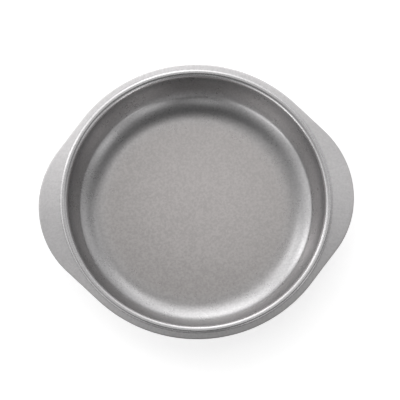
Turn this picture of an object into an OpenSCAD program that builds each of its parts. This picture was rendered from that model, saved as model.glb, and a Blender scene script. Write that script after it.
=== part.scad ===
// Camping plate, pressed from one disc of stainless steel sheet.
// A flat floor, a wide bend that tightens into a steep round wall, a raised lip round
// the mouth, and outside it a flange that slopes down and widens into two grip ears.
// Millimetres, +Z up. The floor's underside stands on z = 0 round the Z axis,
// and the ears reach out along +X and -X.

/* [Bowl] */
// Diameter of the mouth, over the crest of the lip
mouth_d = 195; // [170:1:199]
// Height of the lip's crest above the inside of the floor
bowl_depth = 30; // [26:0.5:40]
// Slope of the wall, in degrees from level
wall_slope = 68; // [60:1:75]
// Inside radius of the wide bend that leaves the floor
floor_bend = 29; // [20:0.5:32]
// Slope at which the bend turns tighter, in degrees from level
bend_change = 38; // [20:1:45]
// Inside radius of the tighter bend that runs into the wall
corner_bend = 11; // [8:0.5:16]

/* [Lip] */
// Radius of the lip's rounded top
lip_bend = 2.4; // [2:0.1:4]
// Slope at which the lip's outer side ends, in degrees from level
lip_slope = 30; // [20:1:40]
// Radius of the bend where the lip runs out into the flange
toe_bend = 1.8; // [1:0.1:3]

/* [Flange and ears] */
// Diameter of the flange where it is round
flange_d = 208; // [204:1:214]
// Slope of the flange and ears, in degrees from level
flange_slope = 12; // [2:0.5:15]
// Length over both ears
ear_span = 231; // [222:1:240]
// Radius of the ears' round ends
ear_r = 69; // [50:1:80]

/* [Sheet] */
// Thickness of the steel sheet
sheet = 0.8; // [0.5:0.1:1.5]

/* [Hidden] */
$fn = 180;
// How much too large each round is drawn, so that it meets its straights cleanly
bite = 0.001;
// How far the cutting shapes reach past what they cut
spare = 2;

// Height of the lip's crest above the ground
crest_z = sheet + bowl_depth;

// Directions square to the bend where it turns tighter, to the wall, to the lip's
// outer end and to the flange, pointing up
change_up = [-sin(bend_change), cos(bend_change)];
wall_up = [-sin(wall_slope), cos(wall_slope)];
lip_up = [sin(lip_slope), cos(lip_slope)];
flange_up = [sin(flange_slope), cos(flange_slope)];
flange_out = [cos(flange_slope), -sin(flange_slope)];

// Centre of the lip's bend, below the sheet, as radius and height
lip_c = [mouth_d / 2, crest_z - lip_bend];
// Centre of the tighter bend, above the sheet: the wall runs straight between both
bend_gap = floor_bend - corner_bend;
corner_c_z = sheet + floor_bend - bend_gap * change_up[1];
wall_run = wall_up[1] * (corner_c_z - lip_c[1]) - corner_bend - lip_bend;
corner_c = [lip_c[0] - wall_run / wall_up[0], corner_c_z];
// Centre of the wide bend, in line with the tighter one where they meet
floor_c = corner_c + bend_gap * change_up;
// Centre of the bend at the lip's toe, above the sheet, where lip and toe touch
toe_c = lip_c + (lip_bend + toe_bend) * lip_up;

// Ears' centres, and the direction square to the straight edges beside the ears
ear_x = ear_span / 2 - ear_r;
edge_turn = acos((flange_d / 2 - ear_r) / ear_x);
edge_out = [cos(edge_turn), sin(edge_turn)];

// A round of radius r at point c, drawn a hair too large
module round_at(c, r) {
    translate(c) circle(r + bite);
}

// What the wide bend clears on the floor's side of where the tighter one begins
module wide_round(r) {
    reach = 2 * r;
    intersection() {
        round_at(floor_c, r);
        polygon([
            floor_c,
            floor_c + [-reach, 0],
            floor_c + [-reach, -reach],
            floor_c - reach * change_up,
        ]);
    }
}

// Everything below the sheet's surface that lies d under its upper side,
// from x = -over out past the ears, as radius and height
module below_surface(d, over) {
    toe_end = toe_c - (toe_bend + d) * flange_up;
    flange_end = toe_end + (ear_span / 2 + 2 * spare - toe_end[0]) * flange_out;
    difference() {
        union() {
            polygon([
                [-over, -spare - over],
                [flange_end[0] + over, -spare - over],
                flange_end + over * flange_out,
                toe_end,
                lip_c + (lip_bend - d) * lip_up,
                lip_c + (lip_bend - d) * wall_up,
                corner_c - (corner_bend + d) * wall_up,
                corner_c - (corner_bend + d) * change_up,
                [floor_c[0], sheet - d],
                [-over, sheet - d],
            ]);
            round_at(lip_c, lip_bend - d);
        }
        wide_round(floor_bend + d);
        round_at(corner_c, corner_bend + d + bite);
        round_at(toe_c, toe_bend + d);
    }
}

// Section of the sheet from the axis out past the ears
module sheet_section() {
    difference() {
        below_surface(0, 0);
        below_surface(sheet, spare);
    }
}

// Outline of the trimmed edge, seen from above
module trim_outline() {
    main_tip = flange_d / 2 * edge_out;
    ear_tip = [ear_x, 0] + ear_r * edge_out;
    round_at([0, 0], flange_d / 2);
    for (side = [-1, 1])
        round_at([side * ear_x, 0], ear_r);
    polygon([
        ear_tip,
        main_tip,
        [-main_tip[0], main_tip[1]],
        [-ear_tip[0], ear_tip[1]],
        -ear_tip,
        -main_tip,
        [main_tip[0], -main_tip[1]],
        [ear_tip[0], -ear_tip[1]],
    ]);
}

// The whole plate: the turned section, trimmed to the outline
module plate() {
    color("silver")
        intersection() {
            rotate_extrude() sheet_section();
            translate([0, 0, -spare])
                linear_extrude(crest_z + 2 * spare) trim_outline();
        }
}

plate();
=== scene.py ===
"""Dresses the camping plate: one pressed shell of tumbled steel, on a pale studio floor in soft light."""

import logging
import math
from dataclasses import dataclass
from enum import Enum

import bmesh
import bpy
from mathutils import Matrix, Vector


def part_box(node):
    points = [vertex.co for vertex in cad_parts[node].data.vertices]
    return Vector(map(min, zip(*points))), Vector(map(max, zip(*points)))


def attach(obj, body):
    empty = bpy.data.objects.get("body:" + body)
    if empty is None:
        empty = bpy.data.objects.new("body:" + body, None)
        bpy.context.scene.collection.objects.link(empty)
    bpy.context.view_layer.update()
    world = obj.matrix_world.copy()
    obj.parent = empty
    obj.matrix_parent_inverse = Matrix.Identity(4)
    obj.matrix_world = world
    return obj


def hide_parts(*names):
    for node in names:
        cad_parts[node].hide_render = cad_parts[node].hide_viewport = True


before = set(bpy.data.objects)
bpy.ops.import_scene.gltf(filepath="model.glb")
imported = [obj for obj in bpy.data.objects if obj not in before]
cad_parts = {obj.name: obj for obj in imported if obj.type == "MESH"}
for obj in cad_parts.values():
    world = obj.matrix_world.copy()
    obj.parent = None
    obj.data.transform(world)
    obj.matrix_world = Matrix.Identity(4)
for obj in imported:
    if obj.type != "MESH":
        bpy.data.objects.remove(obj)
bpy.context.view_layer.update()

log = logging.getLogger("camping_plate")

Colour = tuple[float, float, float, float]
Socket = bpy.types.NodeSocket

MM = 0.001
UP = 90.0
HALF_TURN = 180.0
WHITE: Colour = (1.0, 1.0, 1.0, 1.0)
NODE = "plate"
BODY = "root"


class SheetFace(Enum):
    """The two faces of the pressed sheet."""

    UPPER = "upper"
    LOWER = "lower"


class BlendKind(Enum):
    """What a Mix node blends, with the numbers of its two inputs and of its result."""

    FLOAT = (2, 3, 0)
    RGBA = (6, 7, 2)


class NodeBench:
    """Lays nodes in one node tree and links them."""

    def __init__(self, tree: bpy.types.NodeTree) -> None:
        """Works on a tree.

        Args:
            tree: The tree that the nodes go into.
        """
        self.tree = tree

    def add(self, kind: str, inputs: dict | None = None, **settings) -> bpy.types.Node:
        """Adds a node, sets its options and feeds its inputs.

        Args:
            kind: The node's type name.
            inputs: Input name or number to a plain value or to the socket that feeds it.
            settings: The node's own options.

        Returns:
            The new node.
        """
        node = self.tree.nodes.new(kind)
        for name, value in settings.items():
            setattr(node, name, value)
        for key, value in (inputs or {}).items():
            self.feed(node.inputs[key], value)
        return node

    def feed(self, socket: Socket, value: object) -> None:
        """Links a socket to another one, or gives it a plain value.

        Args:
            socket: The input to feed.
            value: The socket or the plain value that feeds it.
        """
        if isinstance(value, Socket):
            self.tree.links.new(value, socket)
        else:
            socket.default_value = value

    def math(self, operation: str, *values: object) -> Socket:
        """Adds a Math node.

        Args:
            operation: The node's operation.
            values: Its inputs, in order.

        Returns:
            The node's result.
        """
        return self.add("ShaderNodeMath", dict(enumerate(values)), operation=operation).outputs[0]

    def vector(self, operation: str, *values: object) -> Socket:
        """Adds a Vector Math node.

        Args:
            operation: The node's operation.
            values: Its vectors, in order.

        Returns:
            The node's result, which is a number for a length or a dot product.
        """
        node = self.add("ShaderNodeVectorMath", dict(enumerate(values)), operation=operation)
        return node.outputs["Value" if operation in ("LENGTH", "DOT_PRODUCT") else "Vector"]

    def scaled(self, value: object, factor: object) -> Socket:
        """Adds a Vector Math node that multiplies a vector or a colour by one factor."""
        node = self.add("ShaderNodeVectorMath", {0: value, "Scale": factor}, operation="SCALE")
        return node.outputs["Vector"]

    def blend(self, kind: BlendKind, share: Socket, first: object, second: object) -> Socket:
        """Adds a Mix node.

        Args:
            kind: Whether numbers or colours are blended.
            share: How much of the second one is taken.
            first: The result at a share of 0.
            second: The result at a share of 1.

        Returns:
            The node's result.
        """
        first_at, second_at, result = kind.value
        node = self.add("ShaderNodeMix", {0: share, first_at: first, second_at: second}, data_type=kind.name)
        return node.outputs[result]


@dataclass(frozen=True)
class SheetSection:
    """Section of the pressed sheet from the axis to the trimmed edge, where the flange is round.

    Lengths are in metres and slopes in degrees from level. Points are (radius, height).
    """

    crest_z: float
    flange_d: float
    mouth_d: float = 195 * MM
    floor_bend: float = 29 * MM
    bend_change: float = 38.0
    corner_bend: float = 11 * MM
    wall_foot: float = 51.0
    wall_slope: float = 84.0
    lip_bend: float = 3.6 * MM
    fall_bend: float = 2.4 * MM
    lip_slope: float = 40.0
    toe_bend: float = 1.2 * MM
    flange_slope: float = 12.0
    sheet: float = 0.8 * MM
    edge_roll: float = 12.0
    edge_roll_bend: float = 3.5 * MM
    edge_round: float = 0.3 * MM
    arc_step: float = 4.0
    least_steps: int = 2
    floor_rings: int = 6
    flange_rings: int = 8

    @staticmethod
    def polar(turn: float, length: float = 1.0) -> Vector:
        """Vector of that length, turned from the outward direction by that many degrees."""
        return Vector((math.cos(math.radians(turn)), math.sin(math.radians(turn)))) * length

    @property
    def wall_up(self) -> float:
        """Heading square to the wall's top, into the bowl."""
        return UP + self.wall_slope

    @property
    def lip_up(self) -> float:
        """Heading square to the lip's outer end, upwards."""
        return UP - self.lip_slope

    @property
    def flange_up(self) -> float:
        """Heading square to the flange, upwards."""
        return UP - self.flange_slope

    @property
    def edge_up(self) -> float:
        """Heading square to the rolled edge, upwards."""
        return self.flange_up - self.edge_roll

    @property
    def lip_centre(self) -> Vector:
        """Centre of the bend on the lip's inner side, below the sheet."""
        return Vector((self.mouth_d / 2, self.crest_z - self.lip_bend))

    @property
    def fall_centre(self) -> Vector:
        """Centre of the tighter bend on the lip's outer side, below the sheet."""
        return Vector((self.mouth_d / 2, self.crest_z - self.fall_bend))

    @property
    def wall_bend(self) -> float:
        """Radius of the wall's gentle curve, which climbs what the two bends below it leave."""
        slopes = (self.wall_foot, self.bend_change, self.wall_slope)
        foot, change, top = (math.cos(math.radians(slope)) for slope in slopes)
        climbed = self.floor_bend * (1 - change) + self.corner_bend * (change - foot)
        height = self.lip_centre.y + self.lip_bend * top - self.sheet - climbed
        return height / (foot - top)

    @property
    def wall_centre(self) -> Vector:
        """Centre of the wall's curve, placed so that the wall runs into the lip."""
        return self.lip_centre + self.polar(self.wall_up, self.lip_bend + self.wall_bend)

    @property
    def corner_centre(self) -> Vector:
        """Centre of the tighter bend below the wall."""
        return self.wall_centre + self.polar(self.wall_foot - UP, self.wall_bend - self.corner_bend)

    @property
    def floor_centre(self) -> Vector:
        """Centre of the wide bend that leaves the floor."""
        return self.corner_centre - self.polar(self.bend_change - UP, self.floor_bend - self.corner_bend)

    @property
    def toe_centre(self) -> Vector:
        """Centre of the bend at the lip's toe, above the sheet."""
        return self.fall_centre + self.polar(self.lip_up, self.fall_bend + self.toe_bend)

    @property
    def fall_end(self) -> float:
        """Radius at which the lip's outer side runs into its toe."""
        return (self.fall_centre + self.polar(self.lip_up, self.fall_bend)).x

    @property
    def toe_end(self) -> Vector:
        """Point of the upper face where the straight flange begins."""
        return self.toe_centre - self.polar(self.flange_up, self.toe_bend)

    @property
    def roll_start(self) -> Vector:
        """Point of the upper face where the flange begins to roll down to its edge."""
        tip = self.flange_d / 2 - self.edge_round * (1 - self.polar(self.edge_up).x)
        radius = tip - self.edge_roll_bend * (self.polar(self.edge_up).x - self.polar(self.flange_up).x)
        fall = math.tan(math.radians(self.flange_slope))
        return Vector((radius, self.toe_end.y - (radius - self.toe_end.x) * fall))

    def arc(self, centre: Vector, radius: float, start: float, end: float) -> list[Vector]:
        """Points along an arc, both ends included.

        Args:
            centre: The arc's centre.
            radius: Its radius.
            start: Heading of its first point.
            end: Heading of its last point.

        Returns:
            The points in order.
        """
        sweep = end - start
        steps = max(self.least_steps, math.ceil(abs(sweep) / self.arc_step))
        return [centre + self.polar(start + sweep * k / steps, radius) for k in range(steps + 1)]

    @staticmethod
    def straight(start: Vector, end: Vector, rings: int) -> list[Vector]:
        """Points between the two ends of a straight, neither end included."""
        return [start.lerp(end, k / rings) for k in range(1, rings)]

    def face(self, side: SheetFace) -> list[Vector]:
        """Points of one face of the sheet, from the axis to where the edge's rounding begins.

        Args:
            side: The face of the sheet.

        Returns:
            The points in order.
        """
        depth = 0.0 if side is SheetFace.UPPER else self.sheet
        slopes = (self.bend_change, self.wall_foot, self.wall_slope)
        change, foot, top = (slope - UP for slope in slopes)
        lip_down, flange_down = self.lip_up + HALF_TURN, self.flange_up + HALF_TURN
        floor = self.arc(self.floor_centre, self.floor_bend + depth, -UP, change)
        corner = self.arc(self.corner_centre, self.corner_bend + depth, change, foot)
        wall = self.arc(self.wall_centre, self.wall_bend + depth, foot, top)
        lip = self.arc(self.lip_centre, self.lip_bend - depth, self.wall_up, UP)
        fall = self.arc(self.fall_centre, self.fall_bend - depth, UP, self.lip_up)
        toe = self.arc(self.toe_centre, self.toe_bend + depth, lip_down, flange_down)
        roll_centre = self.roll_start - self.polar(self.flange_up, self.edge_roll_bend)
        roll = self.arc(roll_centre, self.edge_roll_bend - depth, self.flange_up, self.edge_up)
        middle = Vector((0.0, self.sheet - depth))
        return [
            middle,
            *self.straight(middle, floor[0], self.floor_rings),
            *floor,
            *corner[1:],
            *wall[1:],
            *lip[1:],
            *fall[1:],
            *toe[1:],
            *self.straight(toe[-1], roll[0], self.flange_rings),
            *roll,
        ]

    def points(self) -> list[Vector]:
        """The whole section: out along the upper face, round the edge, and back along the lower one."""
        upper = self.face(SheetFace.UPPER)
        lower = self.face(SheetFace.LOWER)
        inward = self.polar(self.edge_up, self.edge_round)
        outward = self.edge_up - UP
        shoulder = self.arc(upper[-1] - inward, self.edge_round, self.edge_up, outward)
        heel = self.arc(lower[-1] + inward, self.edge_round, outward, self.edge_up - HALF_TURN)
        return [*upper, *shoulder[1:], *heel[:-1], *reversed(lower)]


@dataclass(frozen=True)
class TrimOutline:
    """Outline of the trimmed edge: a round flange with two ears, joined by straight tangents."""

    flange_d: float
    ear_span: float
    ear_r: float = 69 * MM

    @property
    def ear_x(self) -> float:
        """Distance of the ears' centres from the axis."""
        return self.ear_span / 2 - self.ear_r

    @property
    def edge_turn(self) -> float:
        """Turn from the ears' line at which the round flange runs into the straight, in radians."""
        return math.acos((self.flange_d / 2 - self.ear_r) / self.ear_x)

    @property
    def ear_turn(self) -> float:
        """Turn from the ears' line at which the straight runs into the ear, in radians."""
        rise = self.ear_r * math.sin(self.edge_turn)
        return math.atan2(rise, self.ear_x + self.ear_r * math.cos(self.edge_turn))


@dataclass(frozen=True)
class SteelSpot:
    """One surface point in the steel's node tree: where it lies, its share of each zone, and its grain."""

    place: Socket
    flat: Socket
    radius: Socket
    lip: Socket
    flange: Socket
    floor: Socket
    bowl: Socket
    gain: Socket
    mottle: Socket
    grain: Socket


@dataclass(frozen=True)
class TumbledSteel:
    """Tumbled stainless steel: palest on the flange, smoothest on the lip, warmer and darker in the bowl.

    The floor's paler patch is painted light: a pale pool on the floor's middle that darkens towards the bend,
    fading out from floor_and_painted_light_core to floor_and_painted_light_edge. The bowl's warm tint and a
    painted light gradient across it, lighter towards +Y and darker towards -Y, fade out from bowl_core to
    bowl_edge. The lip begins at the height lip_from, and the flange at the radius flange_from. Scales are per
    metre.
    """

    lip_from: float
    flange_from: float
    wall_colour: Colour = (0.428, 0.422, 0.426, 1.0)
    bend_colour: Colour = (0.430, 0.410, 0.404, 1.0)
    # The steel's warm tint, made paler than bend_colour as painted light on the floor's middle.
    painted_light_floor_colour: Colour = (0.495, 0.470, 0.464, 1.0)
    lip_colour: Colour = (0.520, 0.512, 0.516, 1.0)
    flange_colour: Colour = (0.618, 0.606, 0.610, 1.0)
    wall_roughness: float = 0.28
    floor_roughness: float = 0.335
    lip_roughness: float = 0.26
    flange_roughness: float = 0.3
    haze_share: float = 0.2
    haze_roughness: float = 0.55
    # Radii where the floor zone, with its painted pool of light, is whole and where it is gone.
    floor_and_painted_light_core: float = 20 * MM
    floor_and_painted_light_edge: float = 66 * MM
    bowl_core: float = 60 * MM
    bowl_edge: float = 80 * MM
    # Painted light: tone added at bowl_edge towards +X and towards +Y; the opposite sides are darkened by as
    # much.
    painted_light_slant: tuple[float, float] = (0.06, 0.185)
    zone_blend: float = 1.5 * MM
    mottle_scale: float = 70.0
    mottle_detail: float = 4.0
    mottle_depth: float = 0.12
    grain_scale: float = 650.0
    grain_detail: float = 2.0
    grain_depth: float = 0.64
    flange_gain: float = 0.55
    streak_scale: float = 600.0
    streak_detail: float = 2.0
    streak_stretch: float = 0.2
    streak_depth: float = 0.16
    roughness_swing: float = 0.12
    dent_scale: float = 520.0
    dent_detail: float = 3.0
    dent_depth: float = 0.012 * MM
    noise_roughness: float = 0.6
    noise_middle: float = 0.5
    noise_limit: float = 0.12

    def material(self) -> bpy.types.Material:
        """Makes the finish, as a sheen with a wider haze in it.

        Returns:
            The material.
        """
        made = bpy.data.materials.new("tumbled_steel")
        made.use_nodes = True
        bench = NodeBench(made.node_tree)
        spot = self.spot(bench)
        tint = bench.scaled(self.colour(bench, spot), self.tone(bench, spot))
        normal = self.normal(bench, spot)
        sheen = made.node_tree.nodes["Principled BSDF"]
        bench.feed(sheen.inputs["Roughness"], self.roughness(bench, spot))
        haze = bench.add("ShaderNodeBsdfPrincipled", {"Roughness": self.haze_roughness})
        for lobe in (sheen, haze):
            bench.feed(lobe.inputs["Metallic"], 1.0)
            bench.feed(lobe.inputs["Base Color"], tint)
            bench.feed(lobe.inputs["Normal"], normal)
        lobes = {0: self.haze_share, 1: sheen.outputs[0], 2: haze.outputs[0]}
        both = bench.add("ShaderNodeMixShader", lobes)
        bench.feed(made.node_tree.nodes["Material Output"].inputs["Surface"], both.outputs[0])
        return made

    def spot(self, bench: NodeBench) -> SteelSpot:
        """Works out where a surface point lies and which zones it belongs to.

        Args:
            bench: The material's bench.

        Returns:
            The surface point.
        """
        place = bench.add("ShaderNodeTexCoord").outputs["Object"]
        flat = bench.vector("MULTIPLY", place, (1.0, 1.0, 0.0))
        radius = bench.vector("LENGTH", flat)
        height = bench.add("ShaderNodeSeparateXYZ", {0: place}).outputs["Z"]
        lip = self.ramp(bench, height, self.lip_from, self.lip_from + self.zone_blend)
        flange = self.ramp(bench, radius, self.flange_from, self.flange_from + self.zone_blend)
        rim = bench.math("MAXIMUM", lip, flange)
        return SteelSpot(
            place=place,
            flat=flat,
            radius=radius,
            lip=lip,
            flange=flange,
            # Floor zone: it sets the floor's roughness and carries the painted pool of light on its middle.
            floor=self.ramp(bench, radius, self.floor_and_painted_light_edge, self.floor_and_painted_light_core),
            bowl=self.ramp(bench, radius, self.bowl_edge, self.bowl_core),
            gain=bench.math("MULTIPLY_ADD", rim, self.flange_gain - 1.0, 1.0),
            mottle=self.cloud(bench, place, self.mottle_scale, self.mottle_detail),
            grain=self.cloud(bench, place, self.grain_scale, self.grain_detail),
        )

    def colour(self, bench: NodeBench, spot: SteelSpot) -> Socket:
        """Adds the zones' colours.

        Args:
            bench: The material's bench.
            spot: The surface point.

        Returns:
            The colour, before its tone.
        """
        colour = self.wall_colour
        # Painted light: the floor's middle takes the paler colour, a painted pool of light that darkens
        # towards the bend.
        painted_light_floor = bench.blend(BlendKind.RGBA, spot.floor, self.bend_colour, self.painted_light_floor_colour)
        zones = ((spot.bowl, painted_light_floor), (spot.lip, self.lip_colour), (spot.flange, self.flange_colour))
        for share, zone in zones:
            colour = bench.blend(BlendKind.RGBA, share, colour, zone)
        return colour

    def tone(self, bench: NodeBench, spot: SteelSpot) -> Socket:
        """Adds what lightens and darkens the colour: mottling, grain, streaks and a painted light gradient
        across the bowl.

        Args:
            bench: The material's bench.
            spot: The surface point.

        Returns:
            The tone, around 1.
        """
        patches = bench.math("MULTIPLY", spot.mottle, self.mottle_depth)
        speckle = bench.math("MULTIPLY", spot.grain, self.grain_depth)
        worn = bench.math("MULTIPLY_ADD", bench.math("ADD", patches, speckle), spot.gain, 1.0)
        streaks = bench.math("MULTIPLY", self.streaks(bench, spot), spot.flange)
        # Painted light: the bowl is made lighter towards +Y and darker towards -Y.
        painted_light_x, painted_light_y = (share / self.bowl_edge for share in self.painted_light_slant)
        painted_light_reach = bench.vector("DOT_PRODUCT", spot.flat, (painted_light_x, painted_light_y, 0.0))
        painted_light_tone = bench.math("MULTIPLY", painted_light_reach, spot.bowl)
        return bench.math("ADD", bench.math("MULTIPLY_ADD", streaks, self.streak_depth, worn), painted_light_tone)

    def roughness(self, bench: NodeBench, spot: SteelSpot) -> Socket:
        """Adds the sheen's roughness, by zone and a little uneven.

        Args:
            bench: The material's bench.
            spot: The surface point.

        Returns:
            The roughness.
        """
        even = self.wall_roughness
        zones = (
            (spot.floor, self.floor_roughness),
            (spot.lip, self.lip_roughness),
            (spot.flange, self.flange_roughness),
        )
        for share, zone in zones:
            even = bench.blend(BlendKind.FLOAT, share, even, zone)
        marks = bench.math("ADD", spot.mottle, spot.grain)
        return bench.math("MULTIPLY", even, bench.math("MULTIPLY_ADD", marks, self.roughness_swing, 1.0))

    def normal(self, bench: NodeBench, spot: SteelSpot) -> Socket:
        """Adds the very shallow dents that tumbling leaves.

        Args:
            bench: The material's bench.
            spot: The surface point.

        Returns:
            The surface's direction.
        """
        dents = self.cloud(bench, spot.place, self.dent_scale, self.dent_detail)
        relief = bench.math("MULTIPLY", bench.math("MULTIPLY", dents, spot.gain), self.dent_depth)
        bump = bench.add("ShaderNodeBump", {"Height": relief, "Strength": 1.0, "Distance": 1.0})
        return bump.outputs["Normal"]

    def streaks(self, bench: NodeBench, spot: SteelSpot) -> Socket:
        """Adds a noise drawn out along the radius.

        Args:
            bench: The material's bench.
            spot: The surface point.

        Returns:
            The noise, held within noise_limit of zero.
        """
        ring = bench.scaled(bench.vector("NORMALIZE", spot.flat), self.flange_from)
        drawn_out = bench.math("MULTIPLY", spot.radius, self.streak_stretch)
        lift = bench.add("ShaderNodeCombineXYZ", {"Z": drawn_out}).outputs[0]
        return self.cloud(bench, bench.vector("ADD", ring, lift), self.streak_scale, self.streak_detail)

    @staticmethod
    def ramp(bench: NodeBench, value: Socket, none: float, full: float) -> Socket:
        """Adds a smooth ramp.

        Args:
            bench: The material's bench.
            value: What the ramp follows.
            none: Value at which the ramp gives 0.
            full: Value at which the ramp gives 1.

        Returns:
            The ramp.
        """
        limits = {"Value": value, "From Min": none, "From Max": full}
        return bench.add("ShaderNodeMapRange", limits, interpolation_type="SMOOTHSTEP").outputs[0]

    def cloud(self, bench: NodeBench, place: Socket, scale: float, detail: float) -> Socket:
        """Adds a noise around zero.

        Args:
            bench: The material's bench.
            place: The point at which the noise is taken.
            scale: Blobs per metre.
            detail: Octaves of finer noise.

        Returns:
            The noise, held within noise_limit of zero.
        """
        noise = bench.add(
            "ShaderNodeTexNoise",
            {"Vector": place, "Scale": scale, "Detail": detail, "Roughness": self.noise_roughness},
        )
        centred = bench.math("SUBTRACT", noise.outputs[0], self.noise_middle)
        limits = {"Value": centred, "Min": -self.noise_limit, "Max": self.noise_limit}
        return bench.add("ShaderNodeClamp", limits).outputs[0]


@dataclass
class PressedPlate:
    """The plate: its section turned round the axis and stretched out to the trimmed outline."""

    section: SheetSection
    outline: TrimOutline
    finish: TumbledSteel
    turn_steps: int = 480
    seam: float = 0.001 * MM

    def wire(self) -> bpy.types.Object:
        """Draws the section as a wire in the XZ plane.

        Returns:
            The wire's object.
        """
        points = self.section.points()
        mesh = bpy.data.meshes.new("plate_section")
        edges = [(k, k + 1) for k in range(len(points) - 1)]
        mesh.from_pydata([(point.x, 0.0, point.y) for point in points], edges, [])
        wire = bpy.data.objects.new("plate_section", mesh)
        bpy.context.scene.collection.objects.link(wire)
        return wire

    def inputs(self) -> dict[str, tuple[str, object]]:
        """Named inputs of the turning tree.

        Returns:
            Input name to its socket type and value.
        """
        return {
            "Turn Steps": ("NodeSocketInt", self.turn_steps),
            "Stretch Start": ("NodeSocketFloat", self.section.toe_end.x),
            "Stretch End": ("NodeSocketFloat", self.section.roll_start.x),
            "Flange Fall": ("NodeSocketFloat", math.tan(math.radians(self.section.flange_slope))),
            "Flange Radius": ("NodeSocketFloat", self.outline.flange_d / 2),
            "Edge Turn": ("NodeSocketFloat", self.outline.edge_turn),
            "Ear Centre": ("NodeSocketFloat", self.outline.ear_x),
            "Ear Radius": ("NodeSocketFloat", self.outline.ear_r),
            "Ear Turn": ("NodeSocketFloat", self.outline.ear_turn),
            "Seam": ("NodeSocketFloat", self.seam),
            "Finish": ("NodeSocketMaterial", self.finish.material()),
        }

    @staticmethod
    def edge_reach(bench: NodeBench, given: bpy.types.Node, heading: Socket) -> Socket:
        """Works out how far the trimmed edge lies from the axis in each direction.

        Args:
            bench: The tree's bench.
            given: The tree's Group Input.
            heading: Direction from the axis, of length 1.

        Returns:
            The distance.
        """
        parts = bench.add("ShaderNodeSeparateXYZ", {0: bench.vector("ABSOLUTE", heading)})
        along, painted_light_reach = parts.outputs["X"], parts.outputs["Y"]
        turn = bench.math("ARCTAN2", painted_light_reach, along)
        past_edge = bench.math("SUBTRACT", turn, given.outputs["Edge Turn"])
        straight = bench.math("DIVIDE", given.outputs["Flange Radius"], bench.math("COSINE", past_edge))
        offset = bench.math("MULTIPLY", given.outputs["Ear Centre"], painted_light_reach)
        squared = bench.math("POWER", given.outputs["Ear Radius"], 2.0)
        chord = bench.math("SUBTRACT", squared, bench.math("POWER", offset, 2.0))
        ear = bench.math("MULTIPLY_ADD", given.outputs["Ear Centre"], along, bench.math("SQRT", chord))
        on_ear = bench.math("LESS_THAN", turn, given.outputs["Ear Turn"])
        on_flange = bench.math("GREATER_THAN", turn, given.outputs["Edge Turn"])
        reach = straight
        for switch, chosen in ((on_ear, ear), (on_flange, given.outputs["Flange Radius"])):
            either = {"Switch": switch, "False": reach, "True": chosen}
            reach = bench.add("GeometryNodeSwitch", either, input_type="FLOAT").outputs[0]
        return reach

    def turning_tree(self, inputs: dict[str, tuple[str, object]]) -> bpy.types.NodeTree:
        """Builds the tree that turns the section and stretches its flange to the outline.

        Args:
            inputs: The tree's named inputs, each with its socket type and value.

        Returns:
            The Geometry Nodes tree.
        """
        tree = bpy.data.node_groups.new("turn_and_stretch", "GeometryNodeTree")
        tree.interface.new_socket("Geometry", in_out="INPUT", socket_type="NodeSocketGeometry")
        tree.interface.new_socket("Geometry", in_out="OUTPUT", socket_type="NodeSocketGeometry")
        for name, (kind, _) in inputs.items():
            tree.interface.new_socket(name, in_out="INPUT", socket_type=kind)
        bench = NodeBench(tree)
        given = bench.add("NodeGroupInput")
        place = bench.add("GeometryNodeInputPosition").outputs[0]
        section = bench.add("GeometryNodeMeshToCurve", {"Mesh": given.outputs["Geometry"]})
        drawn = bench.add("GeometryNodeCaptureAttribute", {"Geometry": section.outputs[0]})
        drawn.capture_items.new("VECTOR", "Drawn At")
        bench.feed(drawn.inputs["Drawn At"], place)
        steps = given.outputs["Turn Steps"]
        ring = bench.add("GeometryNodeCurvePrimitiveCircle", {"Resolution": steps, "Radius": 1.0})
        headed = bench.add("GeometryNodeCaptureAttribute", {"Geometry": ring.outputs[0]})
        headed.capture_items.new("VECTOR", "Heading")
        bench.feed(headed.inputs["Heading"], place)
        turned = bench.add(
            "GeometryNodeCurveToMesh",
            {"Curve": headed.outputs["Geometry"], "Profile Curve": drawn.outputs["Geometry"]},
        )
        heading = headed.outputs["Heading"]
        parts = bench.add("ShaderNodeSeparateXYZ", {0: drawn.outputs["Drawn At"]})
        share = bench.add(
            "ShaderNodeMapRange",
            {
                "Value": parts.outputs["X"],
                "From Min": given.outputs["Stretch Start"],
                "From Max": given.outputs["Stretch End"],
            },
        )
        reach = self.edge_reach(bench, given, heading)
        spare = bench.math("SUBTRACT", reach, given.outputs["Flange Radius"])
        stretch = bench.math("MULTIPLY", spare, share.outputs[0])
        radius = bench.math("ADD", parts.outputs["X"], stretch)
        sink = bench.math("MULTIPLY", stretch, given.outputs["Flange Fall"])
        lift = bench.add("ShaderNodeCombineXYZ", {"Z": bench.math("SUBTRACT", parts.outputs["Z"], sink)})
        spot = bench.vector("ADD", bench.scaled(heading, radius), lift.outputs[0])
        shaped = bench.add("GeometryNodeSetPosition", {"Geometry": turned.outputs[0], "Position": spot})
        joined = bench.add(
            "GeometryNodeMergeByDistance",
            {"Geometry": shaped.outputs[0], "Distance": given.outputs["Seam"]},
        )
        smooth = bench.add("GeometryNodeSetShadeSmooth", {"Geometry": joined.outputs[0]})
        real = bench.add("GeometryNodeRealizeInstances", {"Geometry": smooth.outputs[0]})
        dressed = bench.add(
            "GeometryNodeSetMaterial",
            {"Geometry": real.outputs[0], "Material": given.outputs["Finish"]},
        )
        bench.add("NodeGroupOutput", {"Geometry": dressed.outputs[0]})
        return tree

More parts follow.
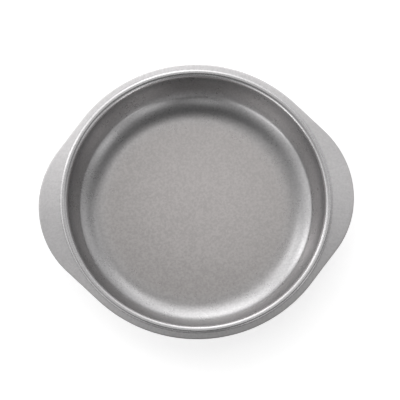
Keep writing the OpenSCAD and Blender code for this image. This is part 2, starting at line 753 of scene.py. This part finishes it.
    def build(self) -> bpy.types.Object:
        """Makes the plate's mesh in place of its solid.

        Returns:
            The plate's object.
        """
        wire = self.wire()
        modifier = wire.modifiers.new("turn_and_stretch", "NODES")
        inputs = self.inputs()
        modifier.node_group = self.turning_tree(inputs)
        for item in modifier.node_group.interface.items_tree:
            if item.in_out == "INPUT" and item.name in inputs:
                modifier[item.identifier] = inputs[item.name][1]
        seen = wire.evaluated_get(bpy.context.evaluated_depsgraph_get())
        mesh = bpy.data.meshes.new_from_object(seen)
        mesh.name = "pressed_plate"
        wire.modifiers.remove(modifier)
        bpy.data.objects.remove(wire)
        self.turn_outwards(mesh)
        plate = bpy.data.objects.new("pressed_plate", mesh)
        bpy.context.scene.collection.objects.link(plate)
        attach(plate, BODY)
        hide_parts(NODE)
        return plate

    @staticmethod
    def turn_outwards(mesh: bpy.types.Mesh) -> None:
        """Turns every face outwards and makes sure that the shell is closed.

        Args:
            mesh: The plate's mesh.
        """
        shell = bmesh.new()
        shell.from_mesh(mesh)
        bmesh.ops.recalc_face_normals(shell, faces=shell.faces)
        if not all(edge.is_manifold for edge in shell.edges):
            raise ValueError("the plate's shell has an open edge")
        shell.to_mesh(mesh)
        shell.free()


@dataclass(frozen=True)
class PhotoCamera:
    """The photograph's camera: far away, steeply above the plate, and slightly rolled."""

    azimuth: float = -9.86
    elevation: float = 74.84
    roll: float = -5.01
    pixel: float = 0.7297 * MM
    frame_px: float = 400.0
    plate_px: tuple[float, float] = (196.53, 200.09)
    distance: float = 3.65
    sensor: float = 36.0
    clip_end: float = 14.6

    def place(self, mouth: Vector) -> bpy.types.Object:
        """Sets up the camera and makes it the scene's own.

        Args:
            mouth: Middle of the plate's mouth, which the photograph shows at plate_px.

        Returns:
            The camera's object.
        """
        turn, rise, roll = (math.radians(angle) for angle in (self.azimuth, self.elevation, self.roll))
        level = Vector((math.cos(turn), math.sin(turn), 0.0))
        reach = math.cos(rise)
        back = Vector((math.sin(turn) * reach, -math.cos(turn) * reach, math.sin(rise)))
        upright = back.cross(level)
        right = level * math.cos(roll) - upright * math.sin(roll)
        up = level * math.sin(roll) + upright * math.cos(roll)
        middle = self.frame_px / 2
        aside, above = middle - self.plate_px[0], self.plate_px[1] - middle
        aim = mouth + right * aside * self.pixel + up * above * self.pixel
        data = bpy.data.cameras.new("photo_camera")
        data.sensor_width = self.sensor
        data.lens = self.sensor * self.distance / (self.frame_px * self.pixel)
        data.clip_end = self.clip_end
        camera = bpy.data.objects.new("photo_camera", data)
        turned = Matrix((right, up, back)).transposed().to_4x4()
        camera.matrix_world = Matrix.Translation(aim + back * self.distance) @ turned
        bpy.context.scene.collection.objects.link(camera)
        bpy.context.scene.camera = camera
        return camera


@dataclass(frozen=True)
class StudioFloor:
    """Pale floor that shows nearly white and keeps the plate's soft shadow."""

    half_width: float = 3.0
    colour: Colour = (0.85, 0.85, 0.85, 1.0)
    glow: float = 0.54

    def lay(self) -> bpy.types.Object:
        """Lays the floor under the plate.

        Returns:
            The floor's object.
        """
        w = self.half_width
        mesh = bpy.data.meshes.new("studio_floor")
        mesh.from_pydata([(-w, -w, 0.0), (w, -w, 0.0), (w, w, 0.0), (-w, w, 0.0)], [], [(0, 1, 2, 3)])
        mesh.materials.append(self.material())
        floor = bpy.data.objects.new("studio_floor", mesh)
        bpy.context.scene.collection.objects.link(floor)
        return floor

    def material(self) -> bpy.types.Material:
        """Makes the floor's finish: matt, and glowing only where the eye, a mirror or a clear piece shows it.

        Returns:
            The material.
        """
        made = bpy.data.materials.new("studio_floor")
        made.use_nodes = True
        bench = NodeBench(made.node_tree)
        made.node_tree.nodes.clear()
        path = bench.add("ShaderNodeLightPath")
        seen = path.outputs["Is Camera Ray"]
        for ray in ("Is Glossy Ray", "Is Transmission Ray"):
            seen = bench.math("MAXIMUM", seen, path.outputs[ray])
        glow = bench.add("ShaderNodeEmission", {"Strength": bench.math("MULTIPLY", seen, self.glow)})
        matt = bench.add("ShaderNodeBsdfDiffuse", {"Color": self.colour})
        both = bench.add("ShaderNodeAddShader", {0: glow.outputs[0], 1: matt.outputs[0]})
        bench.add("ShaderNodeOutputMaterial", {"Surface": both.outputs[0]})
        return made


@dataclass(frozen=True)
class SoftGlow:
    """One soft patch of light in the sky.

    Its azimuth runs clockwise from +Y, seen from above, and it fades out over its spread. All three are
    in degrees.
    """

    azimuth: float
    elevation: float
    spread: float
    strength: float

    @property
    def axis(self) -> tuple[float, float, float]:
        """Direction of the patch's middle."""
        turn, rise = math.radians(self.azimuth), math.radians(self.elevation)
        return (math.sin(turn) * math.cos(rise), math.cos(turn) * math.cos(rise), math.sin(rise))

    def light(self, bench: NodeBench, heading: Socket) -> Socket:
        """Adds the patch's light.

        Args:
            bench: The world's bench.
            heading: Direction in which the sky is seen.

        Returns:
            The patch's strength in that direction.
        """
        near = bench.vector("DOT_PRODUCT", heading, self.axis)
        falloff = 1.0 / (1.0 - math.cos(math.radians(self.spread)))
        share = bench.math("EXPONENT", bench.math("MULTIPLY_ADD", near, falloff, -falloff))
        return bench.math("MULTIPLY", share, self.strength)


@dataclass(frozen=True)
class StudioSky:
    """The studio's light: soft patches of sky, the brightest of them near the horizon."""

    glows: tuple[SoftGlow, ...] = (
        SoftGlow(-117, 3, 8, 4.18),
        SoftGlow(145, 3, 8, 3.74),
        SoftGlow(-49, 16, 8, 3.17),
        SoftGlow(-3, 11, 34, 3.02),
        SoftGlow(-42, 46, 9, 1.88),
        SoftGlow(-132, 14, 20, 1.87),
        SoftGlow(32, 39, 8, 1.43),
        SoftGlow(-75, 13, 35, 1.39),
        SoftGlow(117, 32, 8, 1.34),
        SoftGlow(153, 32, 9, 1.33),
        SoftGlow(43, 78, 14, 1.17),
        SoftGlow(60, 55, 8, 1.01),
        SoftGlow(-170, 39, 8, 1.01),
        SoftGlow(65, 19, 21, 0.80),
        SoftGlow(123, 3, 40, 0.75),
        SoftGlow(172, 3, 8, 0.66),
        SoftGlow(-86, 75, 12, 0.63),
        SoftGlow(-19, 63, 8, 0.58),
        SoftGlow(-1, 44, 8, 0.41),
    )

    def hang(self) -> bpy.types.World:
        """Sets the world's light.

        Returns:
            The world.
        """
        world = bpy.data.worlds.new("studio_sky")
        world.use_nodes = True
        bench = NodeBench(world.node_tree)
        heading = bench.add("ShaderNodeTexCoord").outputs["Generated"]
        total = 0.0
        for glow in self.glows:
            total = bench.math("ADD", glow.light(bench, heading), total)
        background = world.node_tree.nodes["Background"]
        bench.feed(background.inputs["Color"], WHITE)
        bench.feed(background.inputs["Strength"], total)
        bpy.context.scene.world = world
        return world


def main() -> None:
    """Builds the plate and its studio."""
    logging.basicConfig(level=logging.INFO, format="%(name)s: %(message)s")
    low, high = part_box(NODE)
    section = SheetSection(crest_z=high.z, flange_d=high.y - low.y)
    outline = TrimOutline(flange_d=high.y - low.y, ear_span=high.x - low.x)
    finish = TumbledSteel(lip_from=section.crest_z - section.lip_bend, flange_from=section.fall_end)
    plate = PressedPlate(section, outline, finish).build()
    log.info("%s: %d faces", plate.name, len(plate.data.polygons))
    camera = PhotoCamera().place(Vector((0.0, 0.0, section.crest_z)))
    log.info("%s: %.0f mm lens", camera.name, camera.data.lens)
    floor = StudioFloor().lay()
    log.info("%s: laid", floor.name)
    sky = StudioSky()
    log.info("%s: %d soft glows", sky.hang().name, len(sky.glows))
    bpy.context.scene.view_settings.view_transform = "Standard"


if __name__ == "__main__":
    main()
